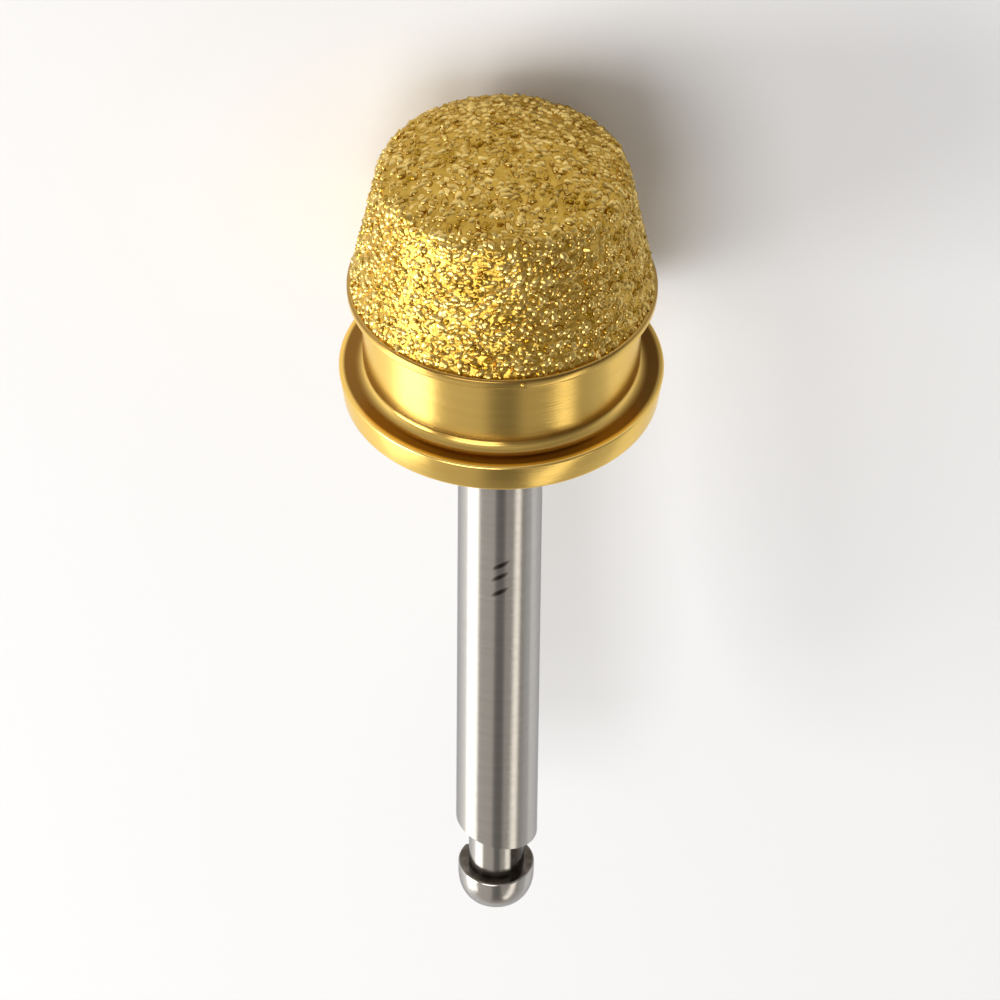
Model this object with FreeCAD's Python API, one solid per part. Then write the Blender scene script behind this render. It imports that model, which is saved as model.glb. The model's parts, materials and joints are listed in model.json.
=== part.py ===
"""Dental bur with a domed diamond head on a latch-type (right-angle) shank.

The bur is a set of turned parts on one axis. It is drawn along that axis first: "height" is measured from the
underside of the stop flange, towards the dome, and the shank runs the other way. place() then lays the finished
bur down as it comes to rest on a table, on the rim of the flange and the land below the diamond.
Lengths are in millimetres and angles in degrees.
"""
import FreeCAD, Part
import math
import os

V = FreeCAD.Vector

# Latch-type shank
shank_d = 2.35
shank_length = 19.2          # from the flange's underside to the free end
latch_button_height = 1.25
latch_button_d = 2.20
latch_button_side = 0.40     # straight part of the button, above its domed end
latch_end_d = 1.24           # flat left in the middle of the domed end
latch_neck_d = 1.60
latch_groove_width = 1.55    # measured on the axis
latch_lip_slant = 14.0       # slope of the groove's upper flank
drive_flat_length = 5.4      # from the free end
drive_flat_thickness = 1.78  # metal left between the flat and the round side
button_edge_r = 0.06

# Stop flange under the head
flange_top_d = 8.92
flange_bottom_d = 8.66
flange_thickness = 0.93
flange_edge_r = 0.08
flange_underside_edge_r = 0.10

# Collar between the flange and the dome
band_d = 7.60
band_undercut = 0.08
band_undercut_height = 0.36  # above the flange's upper face
cove_r = 0.30

# Dome
land_d = 8.44
land_bottom_height = 3.46
land_thickness = 0.32
coat_base_d = 8.38
coat_taper = 11.3
coat_thickness = 0.15
dome_height = 4.62           # from the land to the summit
shoulder_r = 0.60
crown_r = 8.0

# Seat of the shank in the head
spigot_d = 2.0
spigot_length = 5.0
spigot_clearance = 0.01      # on the radius, filled with braze

# Sizes worked out from the ones above
land_top_height = land_bottom_height + land_thickness
summit_height = land_top_height + dome_height
latch_button_top = -shank_length + latch_button_height


def corner_centre(before, corner, after, radius):
    """Centre of the arc that rounds one corner of an outline."""
    towards_before = (before - corner).normalize()
    towards_after = (after - corner).normalize()
    half_angle = towards_before.getAngle(towards_after) / 2
    return corner + (towards_before + towards_after).normalize() * (radius / math.sin(half_angle))


def corner_arc(before, corner, after, radius):
    """Start, middle and end of the arc that rounds one corner of an outline."""
    centre = corner_centre(before, corner, after, radius)
    middle = centre + (corner - centre).normalize() * radius
    towards_before = (before - corner).normalize()
    towards_after = (after - corner).normalize()
    start = corner + towards_before * (centre - corner).dot(towards_before)
    end = corner + towards_after * (centre - corner).dot(towards_after)
    return start, middle, end


def outline(corners):
    """Closed wire in the XZ plane through (radius, height, corner rounding) points."""
    points = [V(radius, 0, height) for radius, height, rounding in corners]
    edges = []
    first = last = None
    for i, (radius, height, rounding) in enumerate(corners):
        start = middle = end = points[i]
        if rounding > 0:
            start, middle, end = corner_arc(points[i - 1], points[i], points[(i + 1) % len(points)], rounding)
        if last is None:
            first = start
        else:
            edges.append(Part.LineSegment(last, start).toShape())
        if rounding > 0:
            edges.append(Part.Arc(start, middle, end).toShape())
        last = end
    edges.append(Part.LineSegment(last, first).toShape())
    return Part.Wire(edges)


def turned(wire):
    """Solid of revolution of a closed wire about the bur's axis."""
    return Part.Face(wire).revolve(V(0, 0, 0), V(0, 0, 1), 360)


def dome(inset):
    """Domed plug of the head, drawn in by an even thickness from the outside of the diamond."""
    base_radius = coat_base_d / 2 - inset / math.cos(math.radians(coat_taper))
    summit = summit_height - inset
    crown_radius = crown_r - inset
    crown_centre = summit - crown_radius
    slope = math.tan(math.radians(coat_taper))
    # The sloping side meets the crown where (radius, height) lies on both.
    side = base_radius + slope * (land_top_height - crown_centre)
    rise = (side * slope + math.sqrt(crown_radius ** 2 * (1 + slope ** 2) - side ** 2)) / (1 + slope ** 2)
    rim = V(side - slope * rise, 0, crown_centre + rise)
    half_way = math.asin(rim.x / crown_radius) / 2
    crown_middle = V(crown_radius * math.sin(half_way), 0, crown_centre + crown_radius * math.cos(half_way))
    foot = V(0, 0, land_top_height)
    edge = V(base_radius, 0, land_top_height)
    top = V(0, 0, summit)
    plug = turned(Part.Wire([
        Part.LineSegment(foot, edge).toShape(),
        Part.LineSegment(edge, rim).toShape(),
        Part.Arc(rim, crown_middle, top).toShape(),
        Part.LineSegment(top, foot).toShape(),
    ]))
    rim_edges = [e for e in plug.Edges if e.Closed and abs(e.CenterOfMass.z - rim.z) < 1e-6]
    return plug.makeFillet(shoulder_r - inset, rim_edges)


def make_head():
    """Flange, collar and dome blank, turned in one piece and bored for the shank."""
    band_radius = band_d / 2
    neck_radius = band_radius - band_undercut
    band_foot = flange_thickness + band_undercut_height
    blank = turned(outline([
        (0, 0, 0),
        (flange_bottom_d / 2, 0, flange_underside_edge_r),
        (flange_top_d / 2, flange_thickness, flange_edge_r),
        (neck_radius, flange_thickness, cove_r),
        (neck_radius, band_foot, 0),
        (band_radius, band_foot, 0),
        (band_radius, land_bottom_height, 0),
        (land_d / 2, land_bottom_height, flange_edge_r),
        (land_d / 2, land_top_height, flange_edge_r),
        (0, land_top_height, 0),
    ]))
    bore = Part.makeCylinder(spigot_d / 2 + spigot_clearance, spigot_length)
    return blank.fuse(dome(coat_thickness)).removeSplitter().cut(bore)


def make_diamond_coat():
    """Layer of diamond grit and its nickel bond, plated over the dome down to the land."""
    return dome(0).cut(dome(coat_thickness))


def make_shank():
    """Round shank with the spigot that seats in the head, the latch groove and button, and the drive flat."""
    body = Part.makeCylinder(shank_d / 2, -latch_button_top, V(0, 0, latch_button_top))
    spigot = Part.makeCylinder(spigot_d / 2, spigot_length)
    return body.cut(latch_groove()).fuse([spigot, latch_button()]).removeSplitter().cut(drive_flat())


def latch_button():
    """Disc at the free end, straight at its side and domed below."""
    radius = latch_button_d / 2
    end_radius = latch_end_d / 2
    side_foot = latch_button_top - latch_button_side
    drop = latch_button_height - latch_button_side
    # The dome is a quarter of an ellipse; its middle point is where the ellipse turns 45 degrees.
    bulge = math.cos(math.radians(45))
    dome_middle = V(end_radius + (radius - end_radius) * bulge, 0, side_foot - drop * bulge)
    edge_start, edge_middle, edge_end = corner_arc(
        V(0, 0, latch_button_top), V(radius, 0, latch_button_top), V(radius, 0, side_foot), button_edge_r)
    side_end = V(radius, 0, side_foot)
    end_rim = V(end_radius, 0, -shank_length)
    end_middle = V(0, 0, -shank_length)
    top_middle = V(0, 0, latch_button_top)
    return turned(Part.Wire([
        Part.LineSegment(top_middle, edge_start).toShape(),
        Part.Arc(edge_start, edge_middle, edge_end).toShape(),
        Part.LineSegment(edge_end, side_end).toShape(),
        Part.Arc(side_end, dome_middle, end_rim).toShape(),
        Part.LineSegment(end_rim, end_middle).toShape(),
        Part.LineSegment(end_middle, top_middle).toShape(),
    ]))


def latch_groove():
    """Ring that is cut away above the button. Its upper flank slants across the shank."""
    tall = 2 * latch_groove_width
    ring = Part.makeCylinder(shank_d, tall, V(0, 0, latch_button_top))
    ring = ring.cut(Part.makeCylinder(latch_neck_d / 2, tall, V(0, 0, latch_button_top)))
    above = Part.makeBox(4 * shank_d, 4 * shank_d, 2 * tall, V(-2 * shank_d, -2 * shank_d, 0))
    above.rotate(V(0, 0, 0), V(0, 1, 0), -latch_lip_slant)
    above.translate(V(0, 0, latch_button_top + latch_groove_width))
    return ring.cut(above)


def drive_flat():
    """Block that is milled off one side of the shank's end, which leaves its section a D."""
    depth = shank_d - drive_flat_thickness
    block = Part.makeBox(2 * shank_d, shank_d, drive_flat_length)
    block.translate(V(-shank_d, depth - 1.5 * shank_d, -shank_length))
    return block


def place(parts):
    """Lay the parts down at rest, dome towards -Y, with the middle of their box above the origin."""
    flange_rim = corner_centre(V(flange_bottom_d / 2, 0, 0), V(flange_top_d / 2, 0, flange_thickness),
                               V(0, 0, flange_thickness), flange_edge_r)
    land_rim = V(land_d / 2 - flange_edge_r, 0, land_top_height - flange_edge_r)
    rest_tilt = math.degrees(math.atan2(flange_rim.x - land_rim.x, land_rim.z - flange_rim.z))
    for shape in parts.values():
        shape.rotate(V(0, 0, 0), V(1, 0, 0), 90 + rest_tilt)
    box = FreeCAD.BoundBox()
    for shape in parts.values():
        box.add(shape.optimalBoundingBox(False))
    for shape in parts.values():
        shape.translate(V(-box.Center.x, -box.Center.y, -box.ZMin))


def main():
    parts = {
        "shank": make_shank(),
        "head": make_head(),
        "diamond_coat": make_diamond_coat(),
    }
    place(parts)
    os.makedirs("parts", exist_ok=True)
    for node, shape in parts.items():
        shape.exportStep(f"parts/{node}.step")
        box = shape.optimalBoundingBox(False)
        print(node, "solids", len(shape.Solids), "valid", shape.isValid(), "volume", round(shape.Volume, 3),
              "x", round(box.XMin, 3), round(box.XMax, 3), "y", round(box.YMin, 3), round(box.YMax, 3),
              "z", round(box.ZMin, 3), round(box.ZMax, 3))


main()
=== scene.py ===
# %% [markdown]
# # A dental bur with a diamond dome
#
# The real bur is three things on one axis: a ground steel shank, a turned gold-coloured head, and a layer
# of diamond grains that is plated onto the head's dome. It lies on a table, on its flange and on the land
# below the diamond, so the camera looks down on it.
#
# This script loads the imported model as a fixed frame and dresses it. The model is in metres, and the sizes
# below are in millimetres.

# %% Load the frame
import bmesh
import bpy
import json
import math
import random
from mathutils import Matrix, Vector


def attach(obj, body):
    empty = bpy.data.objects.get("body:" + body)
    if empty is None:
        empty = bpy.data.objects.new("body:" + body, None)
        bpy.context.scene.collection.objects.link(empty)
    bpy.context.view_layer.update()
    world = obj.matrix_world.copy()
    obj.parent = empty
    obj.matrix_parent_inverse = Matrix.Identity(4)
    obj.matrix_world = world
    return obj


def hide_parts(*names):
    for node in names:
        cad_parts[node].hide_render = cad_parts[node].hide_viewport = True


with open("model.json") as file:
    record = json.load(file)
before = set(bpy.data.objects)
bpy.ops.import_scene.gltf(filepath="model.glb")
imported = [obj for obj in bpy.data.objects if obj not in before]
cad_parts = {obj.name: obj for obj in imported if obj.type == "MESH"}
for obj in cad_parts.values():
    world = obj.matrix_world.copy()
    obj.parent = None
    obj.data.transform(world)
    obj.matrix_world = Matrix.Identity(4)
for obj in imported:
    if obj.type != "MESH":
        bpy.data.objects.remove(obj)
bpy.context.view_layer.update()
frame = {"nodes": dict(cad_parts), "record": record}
MM = 0.001
print("nodes", sorted(frame["nodes"]))

# %% [markdown]
# ## The bench
#
# A turned part is easiest to make standing on its axis. So each piece is modelled "on the bench": Z runs
# along the bur towards the dome, its zero is the underside of the flange, and Y is the side that faces up
# when the bur lies down. One matrix then lays the finished mesh down where the model has it. The shank's
# mount in the record gives the axis: its position is the middle of the stretch from the flange to the
# latch groove.

# %% Bench matrix from the shank's mount
shank_mount = next(m for m in frame["record"]["mounts"] if m["name"] == "shank")
towards_latch = Vector(shank_mount["axis"]).normalized()
towards_dome = -towards_latch
upward = Vector((0, towards_dome.z, -towards_dome.y))
flange_underside = Vector(shank_mount["pos_m"]) - towards_latch * shank_mount["dims"]["length_mm"] * MM / 2
lay_down = Matrix.Translation(flange_underside) @ Matrix((
    (1, upward.x, towards_dome.x),
    (0, upward.y, towards_dome.y),
    (0, upward.z, towards_dome.z),
)).to_4x4()
print("tilt of the axis", round(math.degrees(math.asin(-towards_dome.z)), 2), "degrees")

# %% [markdown]
# ## Camera
#
# In the photograph the bur stands upright in the picture and is seen from about 40 degrees above the plane
# square to its axis, from 195 mm away. The camera keeps that direction and that distance relative to the
# bur, with a longer lens, so that the small object fills the frame. The slight lean of the bur is a turn
# of the camera about its own line of sight.

# %% Camera
VIEW_RISE = math.radians(40.2)
VIEW_DISTANCE = 195 * MM
VIEW_LEAN = math.radians(0.6)
VIEW_ANGLE = math.radians(8.05)
AIM_HEIGHT = -4.1 * MM


def make_camera():
    data = bpy.data.cameras.new("camera")
    data.sensor_fit = "HORIZONTAL"
    data.angle = VIEW_ANGLE
    camera = bpy.data.objects.new("camera", data)
    bpy.context.scene.collection.objects.link(camera)
    place = lay_down @ (VIEW_DISTANCE * Vector((0, math.cos(VIEW_RISE), math.sin(VIEW_RISE))))
    aim = lay_down @ Vector((0, 0, AIM_HEIGHT))
    back = (place - aim).normalized()
    side = towards_dome.cross(back).normalized()
    turn = Matrix((side, back.cross(side), back)).transposed()
    camera.matrix_world = Matrix.Translation(place) @ (turn @ Matrix.Rotation(VIEW_LEAN, 3, "Z")).to_4x4()
    return camera


bpy.context.scene.camera = make_camera()
print("camera at", [round(c, 4) for c in bpy.context.scene.camera.matrix_world.translation])

# %% [markdown]
# ## Sizes
#
# The same named sizes as the solid model's, in millimetres. Heights are measured from the flange's
# underside.

# %% Sizes of the bur
SHANK_R = 1.175
SHANK_LENGTH = 19.2
BUTTON_HEIGHT = 1.25
BUTTON_R = 1.10
BUTTON_SIDE = 0.40
BUTTON_EDGE = 0.06
END_R = 0.62
NECK_R = 0.80
GROOVE_WIDTH = 1.55
LIP_SLANT = math.radians(14)
FLAT_LENGTH = 5.4
FLAT_OFFSET = 1.78 - SHANK_R
FLANGE_TOP_R = 4.46
FLANGE_BOTTOM_R = 4.33
FLANGE_THICKNESS = 0.93
EDGE_ROUNDING = 0.08
UNDERSIDE_ROUNDING = 0.10
BAND_R = 3.80
BAND_FOOT = 1.29
NECKING_R = 3.72
COVE = 0.30
LAND_R = 4.22
LAND_BOTTOM = 3.46
LAND_TOP = 3.78
COAT_BASE_R = 4.19
COAT_TAPER = math.radians(11.3)
DOME_HEIGHT = 4.62
SHOULDER_R = 0.60
CROWN_R = 8.0
BUTTON_TOP = -SHANK_LENGTH + BUTTON_HEIGHT

# %% [markdown]
# ## Turning
#
# A lathe is a spin: a row of vertices from the axis outwards and back is turned through a full circle.
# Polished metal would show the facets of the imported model, so the pieces are turned again here in finer
# steps. Edges of a turned piece are rings, and a bevel on a ring makes a rounding or a cove.

# %% Helpers for turned pieces
TURN_STEPS = 192
ROUNDING_STEPS = 6
SAME_PLACE = 1e-7
SHARP_EDGE = 35


def spin_profile(bm, profile):
    """Turn (radius, height) points in millimetres into a closed shell about Z."""
    before = set(bm.verts)
    points = [bm.verts.new((radius * MM, 0, height * MM)) for radius, height in profile]
    edges = [bm.edges.new(pair) for pair in zip(points, points[1:])]
    bmesh.ops.spin(bm, geom=points + edges, axis=(0, 0, 1), cent=(0, 0, 0), angle=math.tau,
                   steps=TURN_STEPS, use_merge=True)
    fresh = [v for v in bm.verts if v not in before]
    bmesh.ops.remove_doubles(bm, verts=fresh, dist=SAME_PLACE)
    bmesh.ops.recalc_face_normals(bm, faces=bm.faces)


def ring_edges(bm, radius, height):
    """Edges of the ring at one radius and height, in millimetres."""
    def on_ring(vert):
        off_radius = abs(math.hypot(vert.co.x, vert.co.y) - radius * MM)
        off_height = abs(vert.co.z - height * MM)
        return off_radius < SAME_PLACE and off_height < SAME_PLACE
    return [e for e in bm.edges if on_ring(e.verts[0]) and on_ring(e.verts[1])]


def round_ring(bm, radius, height, rounding):
    bmesh.ops.bevel(bm, geom=ring_edges(bm, radius, height), offset=rounding * MM, offset_type="OFFSET",
                    segments=ROUNDING_STEPS, profile=0.5, affect="EDGES", material=-1)


def smooth_up_to(mesh, angle):
    """Shade a mesh smooth, apart from the edges that turn by more than an angle in degrees."""
    mesh.polygons.foreach_set("use_smooth", [True] * len(mesh.polygons))
    mesh.set_sharp_from_angle(angle=math.radians(angle))


def finish_piece(bm, name, material, sharp=SHARP_EDGE):
    """Lay the mesh down in the frame and make it a piece that rides on the bur."""
    bmesh.ops.transform(bm, matrix=lay_down, verts=bm.verts)
    mesh = bpy.data.meshes.new(name)
    bm.to_mesh(mesh)
    bm.free()
    smooth_up_to(mesh, sharp)
    mesh.materials.append(material)
    piece = bpy.data.objects.new(name, mesh)
    bpy.context.scene.collection.objects.link(piece)
    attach(piece, "root")
    print(name, len(mesh.vertices), "vertices", sum(len(p.vertices) - 2 for p in mesh.polygons), "triangles")
    return piece

# %% [markdown]
# ## Writing shaders as sums
#
# A procedural finish is arithmetic on positions. A small class wraps a socket, so that a mask can be
# written as `1 - height / width` and adds its own Math nodes. Any other node comes from one method of the
# shader.

# %% Socket arithmetic


class Signal:
    """One value that varies over a surface."""

    def __init__(self, shader, socket):
        self.shader = shader
        self.socket = socket

    def math(self, operation, *others):
        inputs = {0: self, **dict(enumerate(others, 1))}
        return self.shader.node("ShaderNodeMath", {"operation": operation}, inputs)

    def __add__(self, other):
        return self.math("ADD", other)

    def __mul__(self, other):
        return self.math("MULTIPLY", other)

    def __sub__(self, other):
        return self.math("SUBTRACT", other)

    def __rsub__(self, other):
        return self.math("MULTIPLY", -1).math("ADD", other)

    def __truediv__(self, other):
        return self.math("DIVIDE", other)

    def __pow__(self, other):
        return self.math("POWER", other)

    def clamp(self):
        return self.math("MAXIMUM", 0).math("MINIMUM", 1)

    def between(self, low, high):
        """Spread a value of 0 to 1 over a range."""
        return self * (high - low) + low


class Shader:
    """Node tree of a material or of the world."""

    def __init__(self, holder):
        holder.use_nodes = True
        self.tree = holder.node_tree
        self.tree.nodes.clear()

    def node(self, kind, settings=None, sockets=None, output=0):
        """Add a node: its settings first, then the values or links of its sockets."""
        made = self.tree.nodes.new(kind)
        for key, value in (settings or {}).items():
            if key == "stops":
                ramp = made.color_ramp
                while len(ramp.elements) < len(value):
                    ramp.elements.new(0.5)
                for element, (position, color) in zip(ramp.elements, value):
                    element.position = position
                    element.color = (*color, 1)
            else:
                setattr(made, key, value)
        for key, value in (sockets or {}).items():
            if isinstance(value, Signal):
                self.tree.links.new(value.socket, made.inputs[key])
            else:
                made.inputs[key].default_value = value
        return Signal(self, made.outputs[output])

    def finish(self, surface, kind="ShaderNodeOutputMaterial"):
        self.tree.links.new(surface.socket, self.tree.nodes.new(kind).inputs["Surface"])

    def on_bench(self):
        """Position on the bench, in millimetres."""
        back = lay_down.inverted()
        place = self.node("ShaderNodeTexCoord", output="Object")
        return self.node("ShaderNodeMapping", {"vector_type": "POINT"}, {
            "Vector": place, "Location": back.translation / MM, "Rotation": back.to_euler(),
            "Scale": (1 / MM, 1 / MM, 1 / MM)})

    def split(self, vector):
        return [self.node("ShaderNodeSeparateXYZ", None, {0: vector}, axis) for axis in range(3)]

    def join(self, x, y, z):
        return self.node("ShaderNodeCombineXYZ", None, {0: x, 1: y, 2: z})

    def noise(self, vector, scale, detail=2.0, roughness=0.5):
        return self.node("ShaderNodeTexNoise", None, {
            "Vector": vector, "Scale": scale, "Detail": detail, "Roughness": roughness})

    def blend(self, factor, first, second):
        """Mix two colours, each of them three numbers or a signal."""
        sockets = {0: factor}
        for index, color in ((6, first), (7, second)):
            sockets[index] = color if isinstance(color, Signal) else (*color, 1)
        return self.node("ShaderNodeMix", {"data_type": "RGBA"}, sockets, 2)

    def bump(self, height, distance, under=None):
        sockets = {"Height": height, "Distance": distance}
        if under is not None:
            sockets["Normal"] = under
        return self.node("ShaderNodeBump", None, sockets)


def metal(name, color, roughness, normal=None, edge_tint=(1, 1, 1)):
    """Make a material whose colour, roughness and normal come from the functions given."""
    material = bpy.data.materials.new(name)
    shader = Shader(material)
    sockets = {"Metallic": 1.0, "Base Color": color(shader), "Roughness": roughness(shader),
               "Specular Tint": (*edge_tint, 1)}
    if normal is not None:
        sockets["Normal"] = normal(shader)
    shader.finish(shader.node("ShaderNodeBsdfPrincipled", None, sockets))
    return material

# %% [markdown]
# ## Ground steel
#
# The shank is ground between centres: the surface is bright, and its marks run round it. They are a noise
# that changes fast along the axis and slowly round it. Each use of the marks says how many fit in a
# millimetre. Three small nicks near the head are dark dents that slope up to the right, as seen by the
# camera. Painted shade darkens the latch groove: the button's upper face, the neck's foot and its right
# side.

# %% Steel
MARKS_ROUND = 0.35
MARKS_DETAIL = 3.0
MARK_DEPTH = 0.0024
STEEL_LIGHT = (0.66, 0.64, 0.605)
STEEL_DARK = (0.57, 0.545, 0.505)
STEEL_EDGE = (0.50, 0.51, 0.54)
STEEL_COLOR_MARKS = 9.0
STEEL_GLOSS_MARKS = 14.0
STEEL_RELIEF_MARKS = 30.0
STEEL_ROUGHNESS = (0.11, 0.23)
NICKS = ((0.05, -5.50), (0.02, -5.93), (0.02, -6.50))
NICK_BUMP = 0.003
NICK_LENGTH = 0.26
NICK_WIDTH = 0.12
NICK_SLOPE = 0.62
# Colour of the painted shade in the latch groove, and how far it covers.
GROOVE_SHADE_COLOR = (0.06, 0.045, 0.03)
GROOVE_SHADE_COVER = 0.93
GROOVE_SHADE_HEIGHT = 0.34
GROOVE_SHADE_EDGE = 0.04
NECK_SHADE_R = 0.84
NECK_SHADE_START = 0.40
GROOVE_SHADE_PATCHES = 3.0
GROOVE_SHADE_RANGE = (0.7, 1.2)


def ring_marks(shader, fine):
    x, y, height = shader.split(shader.on_bench())
    return shader.noise(shader.join(x * MARKS_ROUND, y * MARKS_ROUND, height * fine), 1.0, MARKS_DETAIL)


def nick_depth(shader):
    """Three slanting ovals on the side that faces up, placed by distance to the right and height."""
    x, y, height = shader.split(shader.on_bench())
    depth = None
    for across, along in NICKS:
        side = x * -1 - across
        rise = height - along - side * NICK_SLOPE
        near = 1 - (side / NICK_LENGTH) ** 2 - (rise / NICK_WIDTH) ** 2
        near = near.clamp() * y.math("GREATER_THAN", 0)
        depth = near if depth is None else depth + near
    return depth.clamp()


def groove_painted_shade(shader):
    """Painted shade on the button's upper face, at the foot of the neck and down its shaded right side."""
    x, y, height = shader.split(shader.on_bench())
    above = height - BUTTON_TOP
    over_button = ((above + GROOVE_SHADE_EDGE) / GROOVE_SHADE_EDGE).clamp()
    on_neck = over_button * (x * x + y * y).math("LESS_THAN", NECK_SHADE_R ** 2)
    foot = (1 - above / GROOVE_SHADE_HEIGHT).clamp() * over_button
    to_the_right = ((x * -1 - NECK_SHADE_START) / GROOVE_SHADE_EDGE).clamp()
    side = to_the_right * (2 * GROOVE_WIDTH - above).clamp() * on_neck
    patchy = shader.noise(shader.on_bench(), GROOVE_SHADE_PATCHES).between(*GROOVE_SHADE_RANGE).clamp()
    return foot.math("MAXIMUM", side) * patchy


def steel_color(shader):
    clean = shader.blend(ring_marks(shader, STEEL_COLOR_MARKS), STEEL_DARK, STEEL_LIGHT)
    # The nicks are real dark dents; the groove mask adds painted shade.
    dark = 1 - (1 - nick_depth(shader)) * (1 - groove_painted_shade(shader) * GROOVE_SHADE_COVER)
    return shader.blend(dark, clean, GROOVE_SHADE_COLOR)


def steel_roughness(shader):
    return ring_marks(shader, STEEL_GLOSS_MARKS).between(*STEEL_ROUGHNESS)


def steel_normal(shader):
    marks = shader.bump(ring_marks(shader, STEEL_RELIEF_MARKS), MARK_DEPTH * MM)
    return shader.bump(nick_depth(shader) * -1, NICK_BUMP * MM, marks)


ground_steel = metal("ground_steel", steel_color, steel_roughness, steel_normal, STEEL_EDGE)

# %% [markdown]
# ## Gold-coloured metal
#
# The head is turned, so it has the same kind of marks. Its corners get painted shade: on the
# flange's upper face, in the top of the cove under the band, and on the land right under the grains.

# %% Gold-coloured metal
GOLD_LIGHT = (0.94, 0.66, 0.20)
GOLD_DARK = (0.87, 0.58, 0.14)
GOLD_EDGE = (1.0, 0.93, 0.72)
GOLD_SHADE = (0.16, 0.065, 0.01)
GOLD_COLOR_MARKS = 5.0
GOLD_GLOSS_MARKS = 12.0
GOLD_RELIEF_MARKS = 24.0
GOLD_ROUGHNESS = (0.17, 0.27)
# Painted shade on the flange's upper face reaches out to this radius.
FLANGE_SHADE_R = 4.36
FLANGE_SHADE_COVER = 0.92
RIM_FADE = 0.08
FACE_FADE = 0.12
COVE_SHADE = 1.15
COVE_SHADE_WIDTH = 0.09
COVE_SHADE_COVER = 0.6
LAND_SHADE = 3.73
LAND_SHADE_WIDTH = 0.12
LAND_SHADE_COVER = 0.85


def ring_shade(height, centre, width):
    """Mask that is 1 at one height and fades out by a width above and below it."""
    return (1 - (height - centre).math("ABSOLUTE") / width).clamp()


# Painted shade in the head's corners: the flange's upper face, the top of the cove and the land under the
# grains.
def gold_corner_shade(shader):
    x, y, height = shader.split(shader.on_bench())
    inside_rim = ((FLANGE_SHADE_R - (x * x + y * y) ** 0.5) / RIM_FADE).clamp()
    face = inside_rim * ring_shade(height, FLANGE_THICKNESS, FACE_FADE)
    cove = ring_shade(height, COVE_SHADE, COVE_SHADE_WIDTH)
    land = ring_shade(height, LAND_SHADE, LAND_SHADE_WIDTH)
    return face * FLANGE_SHADE_COVER + cove * COVE_SHADE_COVER + land * LAND_SHADE_COVER


def gold_color(shader):
    clean = shader.blend(ring_marks(shader, GOLD_COLOR_MARKS), GOLD_DARK, GOLD_LIGHT)
    # Blend the painted shade of the corners into the turned colour.
    return shader.blend(gold_corner_shade(shader), clean, GOLD_SHADE)


def gold_roughness(shader):
    return ring_marks(shader, GOLD_GLOSS_MARKS).between(*GOLD_ROUGHNESS)


def gold_normal(shader):
    return shader.bump(ring_marks(shader, GOLD_RELIEF_MARKS), MARK_DEPTH * MM)


turned_gold = metal("turned_gold", gold_color, gold_roughness, gold_normal, GOLD_EDGE)

# %% [markdown]
# ## Bond and grains
#
# The diamonds are held in a plated bond of the same gold colour. It undulates a little between the grains,
# and it is duller than the turned metal. The grains are plated over too; some of them are darker than
# others, in patches. Each number of patches says how many fit in a millimetre.

# %% Bond and grain finishes
BOND_DARK = (0.34, 0.185, 0.015)
BOND_LIGHT = (0.80, 0.53, 0.11)
BOND_COLOR_PATCHES = 3.0
BOND_GLOSS_PATCHES = 6.0
BOND_ROUGHNESS = (0.22, 0.42)
BOND_RELIEF_PATCHES = 2.8
BOND_RELIEF = 0.14
GRAIN_DARK = (0.42, 0.24, 0.02)
GRAIN_LIGHT = (0.96, 0.72, 0.25)
GRAIN_LARGE_PATCHES = 0.9
GRAIN_SMALL_PATCHES = 3.6
LARGE_SHARE = 0.35
PATCH_CONTRAST = 3.2
GRAIN_GLOSS_PATCHES = 4.0
GRAIN_ROUGHNESS = (0.12, 0.37)


def bond_color(shader):
    return shader.blend(shader.noise(shader.on_bench(), BOND_COLOR_PATCHES, 3.0), BOND_DARK, BOND_LIGHT)


def bond_roughness(shader):
    return shader.noise(shader.on_bench(), BOND_GLOSS_PATCHES).between(*BOND_ROUGHNESS)


def bond_normal(shader):
    return shader.bump(shader.noise(shader.on_bench(), BOND_RELIEF_PATCHES), BOND_RELIEF * MM)


def grain_color(shader):
    place = shader.on_bench()
    large = shader.noise(place, GRAIN_LARGE_PATCHES)
    small = shader.noise(place, GRAIN_SMALL_PATCHES, 1.0)
    patches = large * LARGE_SHARE + small * (1 - LARGE_SHARE)
    spread = ((patches - 0.5) * PATCH_CONTRAST + 0.5).clamp()
    return shader.blend(spread, GRAIN_DARK, GRAIN_LIGHT)


def grain_roughness(shader):
    return shader.noise(shader.on_bench(), GRAIN_GLOSS_PATCHES).between(*GRAIN_ROUGHNESS)


plated_bond = metal("plated_bond", bond_color, bond_roughness, bond_normal, GOLD_EDGE)
plated_grain = metal("plated_grain", grain_color, grain_roughness, None, GOLD_EDGE)

# %% [markdown]
# ## Shank
#
# The long body is a bar whose end is cut on the slant, which leaves the groove's upper flank sloping. The
# neck and the button are a second turned shell that starts inside the bar. The drive flat is one cut by a
# block, and a Boolean modifier makes it, because a plane would slice the whole length.

# %% Shank
BUTTON_DOME_STEPS = 8
BAR_SINK = 0.2
NECK_SINK = 0.5
SLANT_ROOM = 1.0


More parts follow.
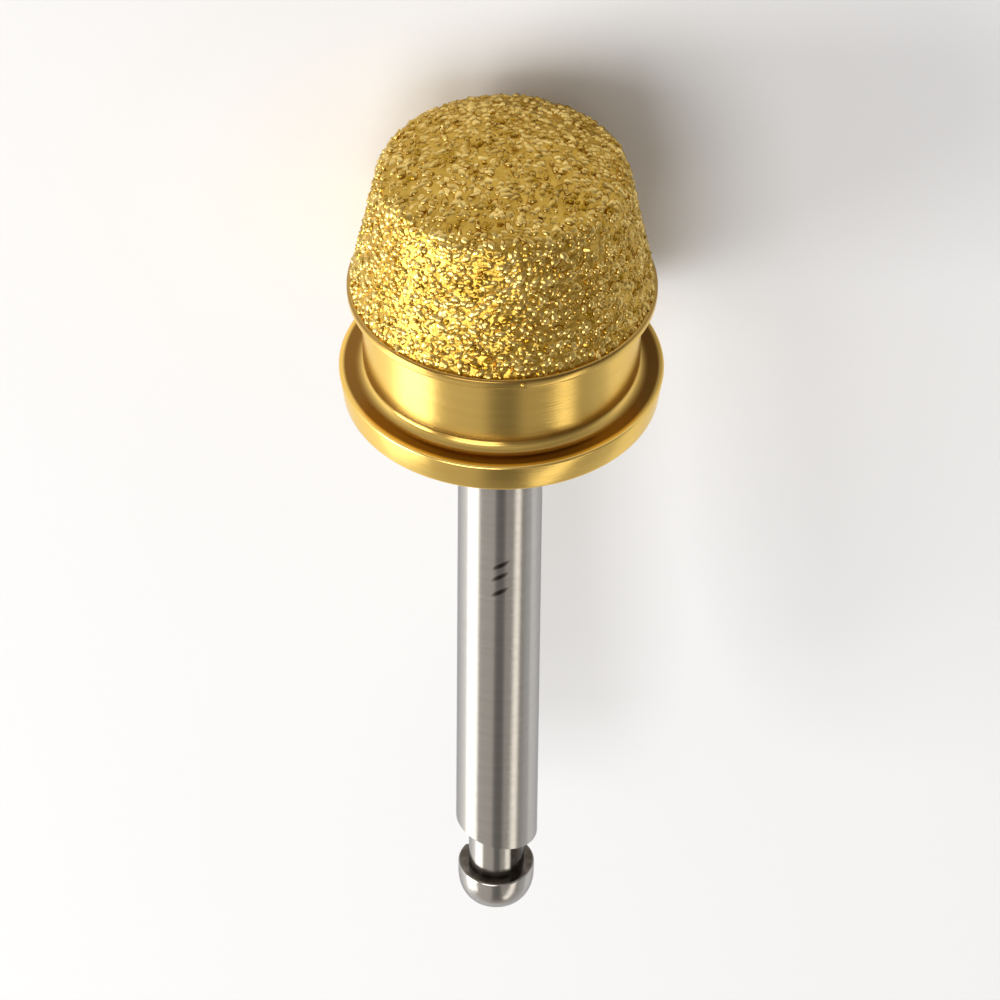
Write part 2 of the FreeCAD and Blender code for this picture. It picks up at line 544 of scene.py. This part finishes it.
def make_shank():
    bm = bmesh.new()
    body_foot = BUTTON_TOP + GROOVE_WIDTH
    low = body_foot - SLANT_ROOM
    spin_profile(bm, [(0, BAR_SINK), (SHANK_R, BAR_SINK), (SHANK_R, low), (0, low)])
    slant = Matrix.Rotation(-LIP_SLANT, 3, "Y") @ Vector((0, 0, 1))
    cut = bmesh.ops.bisect_plane(bm, geom=bm.verts[:] + bm.edges[:] + bm.faces[:], dist=1e-8,
                                 plane_co=(0, 0, body_foot * MM), plane_no=slant, clear_inner=True)
    lip = [e for e in cut["geom_cut"] if isinstance(e, bmesh.types.BMEdge)]
    bmesh.ops.contextual_create(bm, geom=lip)
    side_foot = BUTTON_TOP - BUTTON_SIDE
    drop = BUTTON_HEIGHT - BUTTON_SIDE
    dome = [(END_R + (BUTTON_R - END_R) * math.cos(turn), side_foot - drop * math.sin(turn))
            for turn in (math.pi / 2 * i / BUTTON_DOME_STEPS for i in range(BUTTON_DOME_STEPS + 1))]
    end = bmesh.new()
    neck_top = body_foot + NECK_SINK
    spin_profile(end, [(0, neck_top), (NECK_R, neck_top), (NECK_R, BUTTON_TOP), (BUTTON_R, BUTTON_TOP),
                       *dome, (0, -SHANK_LENGTH)])
    round_ring(end, BUTTON_R, BUTTON_TOP, BUTTON_EDGE)
    return bm, end


def block_mesh(name, low, high):
    bm = bmesh.new()
    bmesh.ops.create_cube(bm, size=1)
    size = Vector(high) - Vector(low)
    bmesh.ops.scale(bm, vec=size * MM, verts=bm.verts)
    bmesh.ops.translate(bm, vec=(Vector(low) + size / 2) * MM, verts=bm.verts)
    bmesh.ops.transform(bm, matrix=lay_down, verts=bm.verts)
    mesh = bpy.data.meshes.new(name)
    bm.to_mesh(mesh)
    bm.free()
    block = bpy.data.objects.new(name, mesh)
    bpy.context.scene.collection.objects.link(block)
    return block


def mill_flat(piece):
    """Cut the drive flat off the side that faces the table, and keep the result as the piece's mesh."""
    wide = 3 * SHANK_R
    low = (-wide, -wide, -SHANK_LENGTH - 1)
    high = (wide, -FLAT_OFFSET, -SHANK_LENGTH + FLAT_LENGTH)
    block = block_mesh("flat_cutter", low, high)
    cut = piece.modifiers.new("flat", "BOOLEAN")
    cut.operation = "DIFFERENCE"
    cut.solver = "EXACT"
    cut.object = block
    bpy.context.view_layer.update()
    cut_mesh = bpy.data.meshes.new_from_object(piece.evaluated_get(bpy.context.evaluated_depsgraph_get()))
    piece.modifiers.clear()
    old = piece.data
    piece.data = cut_mesh
    bpy.data.meshes.remove(old)
    bpy.data.objects.remove(block)
    smooth_up_to(cut_mesh, SHARP_EDGE)


bar, latch = make_shank()
shank_bar = finish_piece(bar, "shank_bar", ground_steel)
shank_latch = finish_piece(latch, "shank_latch", ground_steel)
mill_flat(shank_bar)
mill_flat(shank_latch)
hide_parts("shank")
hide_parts("shank")
print("flat cut on", shank_bar.name, "and", shank_latch.name)

# %% [markdown]
# ## Head
#
# Flange, cove, band and land are one turned outline. The cove is a bevel on the inner ring, the rest are
# small roundings that catch a line of light.

# %% Head


def make_head():
    bm = bmesh.new()
    spin_profile(bm, [
        (0, 0), (FLANGE_BOTTOM_R, 0), (FLANGE_TOP_R, FLANGE_THICKNESS), (NECKING_R, FLANGE_THICKNESS),
        (NECKING_R, BAND_FOOT), (BAND_R, BAND_FOOT), (BAND_R, LAND_BOTTOM), (LAND_R, LAND_BOTTOM),
        (LAND_R, LAND_TOP), (0, LAND_TOP)])
    round_ring(bm, FLANGE_BOTTOM_R, 0, UNDERSIDE_ROUNDING)
    round_ring(bm, FLANGE_TOP_R, FLANGE_THICKNESS, EDGE_ROUNDING)
    round_ring(bm, NECKING_R, FLANGE_THICKNESS, COVE)
    round_ring(bm, LAND_R, LAND_BOTTOM, EDGE_ROUNDING)
    round_ring(bm, LAND_R, LAND_TOP, EDGE_ROUNDING)
    return bm


head = finish_piece(make_head(), "turned_head", turned_gold)
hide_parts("head")

# %% [markdown]
# ## Dome
#
# The dome's outline is a sloping side, a small shoulder and a shallow crown that run smoothly into each
# other. One function gives the point at any distance along it, with the direction that the surface faces
# there. The bond layer is turned from it, and the grains stand on it.

# %% Outline of the dome
CROWN_CENTRE = DOME_HEIGHT - CROWN_R
CROWN_TO_SHOULDER = CROWN_R - SHOULDER_R
SIDE_OFFSET = COAT_BASE_R * math.cos(COAT_TAPER) - SHOULDER_R
SHOULDER_OFFSET = SIDE_OFFSET - CROWN_CENTRE * math.sin(COAT_TAPER)
SHOULDER_START = math.asin(SHOULDER_OFFSET / CROWN_TO_SHOULDER) - COAT_TAPER
SHOULDER_X = CROWN_TO_SHOULDER * math.sin(SHOULDER_START)
SHOULDER_Z = CROWN_CENTRE + CROWN_TO_SHOULDER * math.cos(SHOULDER_START)
SIDE_FACING = math.pi / 2 - COAT_TAPER
SIDE_LENGTH = (SHOULDER_Z + SHOULDER_R * math.sin(COAT_TAPER)) / math.cos(COAT_TAPER)
SHOULDER_LENGTH = SHOULDER_R * (SIDE_FACING - SHOULDER_START)
CROWN_LENGTH = CROWN_R * SHOULDER_START
DOME_LENGTH = SIDE_LENGTH + SHOULDER_LENGTH + CROWN_LENGTH


def on_dome(distance, inset=0.0):
    """Radius, height and facing angle (0 is straight up) at a distance up the dome's outline."""
    if distance < SIDE_LENGTH:
        facing = SIDE_FACING
        radius = COAT_BASE_R - distance * math.sin(COAT_TAPER)
        height = distance * math.cos(COAT_TAPER)
    elif distance < SIDE_LENGTH + SHOULDER_LENGTH:
        facing = SIDE_FACING - (distance - SIDE_LENGTH) / SHOULDER_R
        radius = SHOULDER_X + SHOULDER_R * math.sin(facing)
        height = SHOULDER_Z + SHOULDER_R * math.cos(facing)
    else:
        facing = max(0.0, (DOME_LENGTH - distance) / CROWN_R)
        radius = CROWN_R * math.sin(facing)
        height = CROWN_CENTRE + CROWN_R * math.cos(facing)
    return radius - inset * math.sin(facing), LAND_TOP + height - inset * math.cos(facing), facing


print("dome side", round(SIDE_LENGTH, 2), "shoulder", round(SHOULDER_LENGTH, 2),
      "crown", round(CROWN_LENGTH, 2))

# %% [markdown]
# ## Bond layer
#
# The bond is turned from the same outline, drawn in so that the grains stand out of it. Its foot goes a
# little way into the land.

# %% Bond layer
BOND_INSET = 0.09
BOND_STEPS = 60
BOND_FOOT = LAND_TOP - 0.02


def make_bond():
    bm = bmesh.new()
    outline = [on_dome(DOME_LENGTH * i / BOND_STEPS, BOND_INSET)[:2] for i in range(BOND_STEPS)]
    summit = LAND_TOP + DOME_HEIGHT - BOND_INSET
    spin_profile(bm, [(0, BOND_FOOT), (outline[0][0], BOND_FOOT), *outline, (0, summit)])
    return bm


bond = finish_piece(make_bond(), "bond_layer", plated_bond)
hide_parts("diamond_coat")

# %% [markdown]
# ## Grains
#
# About 3,300 grains cover the dome. A dozen master stones are made once, each an icosphere with its
# corners moved in or out and drawn long or thin. Rows of places run up the outline; each place gets one of
# the stones in one of five sizes, turned at random and sunk by a random part of its size. The smooth
# shading softens their edges, as the plating does. One stray grain sits on the bare land, as in the
# photograph.

# %% Grains
random.seed(2901)
GRAIN_R = 0.15
GRAIN_SPACING = 0.198
GRAIN_EDGE = 62
GRAIN_GRADES = (0.6, 0.75, 0.9, 1.0, 1.35)
GRAIN_SINK = (0.85, 1.25)
ROW_JITTER = 0.4
PLACE_JITTER = 0.35
LOWEST_GRAIN = 0.05
MASTER_COUNT = 12
CORNER_RANGE = (0.75, 1.15)
LENGTH_RANGE = (0.8, 1.7)
WIDTH_RANGE = (0.7, 1.0)
STRAY_GRAIN = (-0.60, 4.19, 3.62)
STRAY_GRAIN_R = 0.09


def make_master(index):
    bm = bmesh.new()
    bmesh.ops.create_icosphere(bm, subdivisions=1, radius=1)
    for vert in bm.verts:
        vert.co *= random.uniform(*CORNER_RANGE)
    bmesh.ops.scale(bm, vec=(random.uniform(*LENGTH_RANGE), random.uniform(*WIDTH_RANGE), 1), verts=bm.verts)
    mesh = bpy.data.meshes.new(f"master_{index}")
    bm.to_mesh(mesh)
    bm.free()
    return mesh


def set_grain(bm, master, place, facing_direction, size):
    """Copy one stone into the mesh, turned at random, at a place in millimetres."""
    stand = facing_direction.to_track_quat("Z", "Y").to_matrix()
    turn = Matrix.Rotation(random.uniform(0, math.tau), 3, "Z")
    turn = turn @ Matrix.Rotation(random.uniform(0, math.pi), 3, "X")
    stone = master.copy()
    stone.transform(Matrix.Translation(place * MM) @ (stand @ turn).to_4x4() @ Matrix.Scale(size * MM, 4))
    bm.from_mesh(stone)
    bpy.data.meshes.remove(stone)


def make_grains(masters, start, stop):
    """Rows of grains between two distances up the outline."""
    bm = bmesh.new()
    rows = max(1, round((stop - start) / GRAIN_SPACING))
    for row in range(rows):
        distance = start + (row + 0.5) * (stop - start) / rows
        radius = on_dome(distance)[0]
        count = max(1, round(math.tau * radius / GRAIN_SPACING))
        shift = random.uniform(0, math.tau)
        for i in range(count):
            size = GRAIN_R * random.choice(GRAIN_GRADES)
            up = distance + random.uniform(-ROW_JITTER, ROW_JITTER) * GRAIN_SPACING
            up = min(max(up, LOWEST_GRAIN), DOME_LENGTH)
            radius, height, facing = on_dome(up, size * random.uniform(*GRAIN_SINK))
            around = shift + math.tau * (i + random.uniform(-PLACE_JITTER, PLACE_JITTER)) / count
            out = Vector((math.cos(around), math.sin(around), 0))
            normal = out * math.sin(facing) + Vector((0, 0, math.cos(facing)))
            set_grain(bm, random.choice(masters), out * radius + Vector((0, 0, height)), normal, size)
    return bm


masters = [make_master(i) for i in range(MASTER_COUNT)]
side_stones = make_grains(masters, 0.0, SIDE_LENGTH)
stray = Vector(STRAY_GRAIN)
set_grain(side_stones, masters[0], stray, Vector((stray.x, stray.y, 0)).normalized(), STRAY_GRAIN_R)
crown_stones = make_grains(masters, SIDE_LENGTH, DOME_LENGTH)
for grain_name, stones in (("side_grains", side_stones), ("crown_grains", crown_stones)):
    grains = finish_piece(stones, grain_name, plated_grain, sharp=GRAIN_EDGE)
    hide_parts("diamond_coat")

# %% [markdown]
# ## Floor
#
# A plain pale floor, large enough to fill the picture and the mirror of the metal.

# %% Floor
FLOOR_SIZE = 3.0
FLOOR_COLOR = (0.86, 0.87, 0.89)


def make_floor():
    bm = bmesh.new()
    bmesh.ops.create_grid(bm, x_segments=1, y_segments=1, size=FLOOR_SIZE)
    mesh = bpy.data.meshes.new("floor")
    bm.to_mesh(mesh)
    bm.free()
    material = bpy.data.materials.new("floor_paper")
    shader = Shader(material)
    surface = shader.node("ShaderNodeBsdfPrincipled", None, {
        "Base Color": (*FLOOR_COLOR, 1), "Roughness": 0.7, "Specular IOR Level": 0.2})
    shader.finish(surface)
    mesh.materials.append(material)
    floor = bpy.data.objects.new("floor", mesh)
    bpy.context.scene.collection.objects.link(floor)


make_floor()

# %% [markdown]
# ## Room and light
#
# Polished metal shows what stands round it. The walls are pale and the ceiling is dimmer and warm, which
# gives the brown of the shank. A dark gap in the ceiling over the latch end draws the dark line down its
# middle, and the right-hand side of the room is duller. Four soft panels add the rest: the overhead one
# lights the crown, the dome key brightens the dome's left side, a narrow panel low on the left draws the
# white stripe down the shank, and a faint strip on the right draws the cream line. Colours are shown as
# they are written.

# %% Room and panels
GAP_CENTRE = -0.03
GAP_HALF_WIDTH = 0.21
GAP_DARKNESS = 0.66
GAP_FADE = 4
CEILING_FADE = 3
CEILING_START = 0.8
RIGHT_DIMMING = 0.38
RIGHT_FADE = 1.6
ROOM_COLORS = ((0.0, (0.90, 0.90, 0.90)), (0.12, (0.80, 0.79, 0.78)), (0.35, (0.49, 0.46, 0.43)),
               (1.0, (0.45, 0.42, 0.39)))
WHITE = (1.0, 1.0, 1.0)
PANELS = (
    # name, place, width and height in millimetres, power in watts, colour
    ("overhead", (110, 0, 330), 220, 220, 0.52, WHITE),
    ("dome_key", (225, 62, 96), 150, 130, 0.52, (1.0, 0.98, 0.94)),
    ("stripe_panel", (183, 161, 50), 84, 138, 0.054, (1.0, 0.99, 0.96)),
    ("cream_strip", (-109, 129, 107), 150, 40, 0.020, (1.0, 0.95, 0.86)),
)


def make_room():
    """World that goes from the pale foot of the walls to the dim ceiling."""
    world = bpy.data.worlds.new("room")
    shader = Shader(world)
    x, y, rise = shader.split(shader.node("ShaderNodeTexCoord", output="Generated"))
    over_latch = (y * GAP_FADE).clamp() * (rise * CEILING_FADE - CEILING_START).clamp()
    gap = (1 - ((x - GAP_CENTRE) / GAP_HALF_WIDTH) ** 4).clamp() * over_latch
    right_side = (x * -RIGHT_FADE).clamp()
    shade = shader.node("ShaderNodeValToRGB", {"stops": ROOM_COLORS}, {0: rise})
    strength = (1 - gap * GAP_DARKNESS) * (1 - right_side * RIGHT_DIMMING)
    surface = shader.node("ShaderNodeBackground", None, {"Color": shade, "Strength": strength})
    shader.finish(surface, "ShaderNodeOutputWorld")
    bpy.context.scene.world = world


def make_panel(name, place, width, height, power, color):
    """Rectangular soft light that faces the bur."""
    data = bpy.data.lights.new(name, "AREA")
    data.shape = "RECTANGLE"
    data.size = width * MM
    data.size_y = height * MM
    data.energy = power
    data.color = color
    panel = bpy.data.objects.new(name, data)
    bpy.context.scene.collection.objects.link(panel)
    centre = Vector(place) * MM
    panel.matrix_world = Matrix.Translation(centre) @ centre.to_track_quat("Z", "Y").to_matrix().to_4x4()
    panel.visible_camera = False


bpy.context.scene.view_settings.view_transform = "Standard"
make_room()
for panel in PANELS:
    make_panel(*panel)
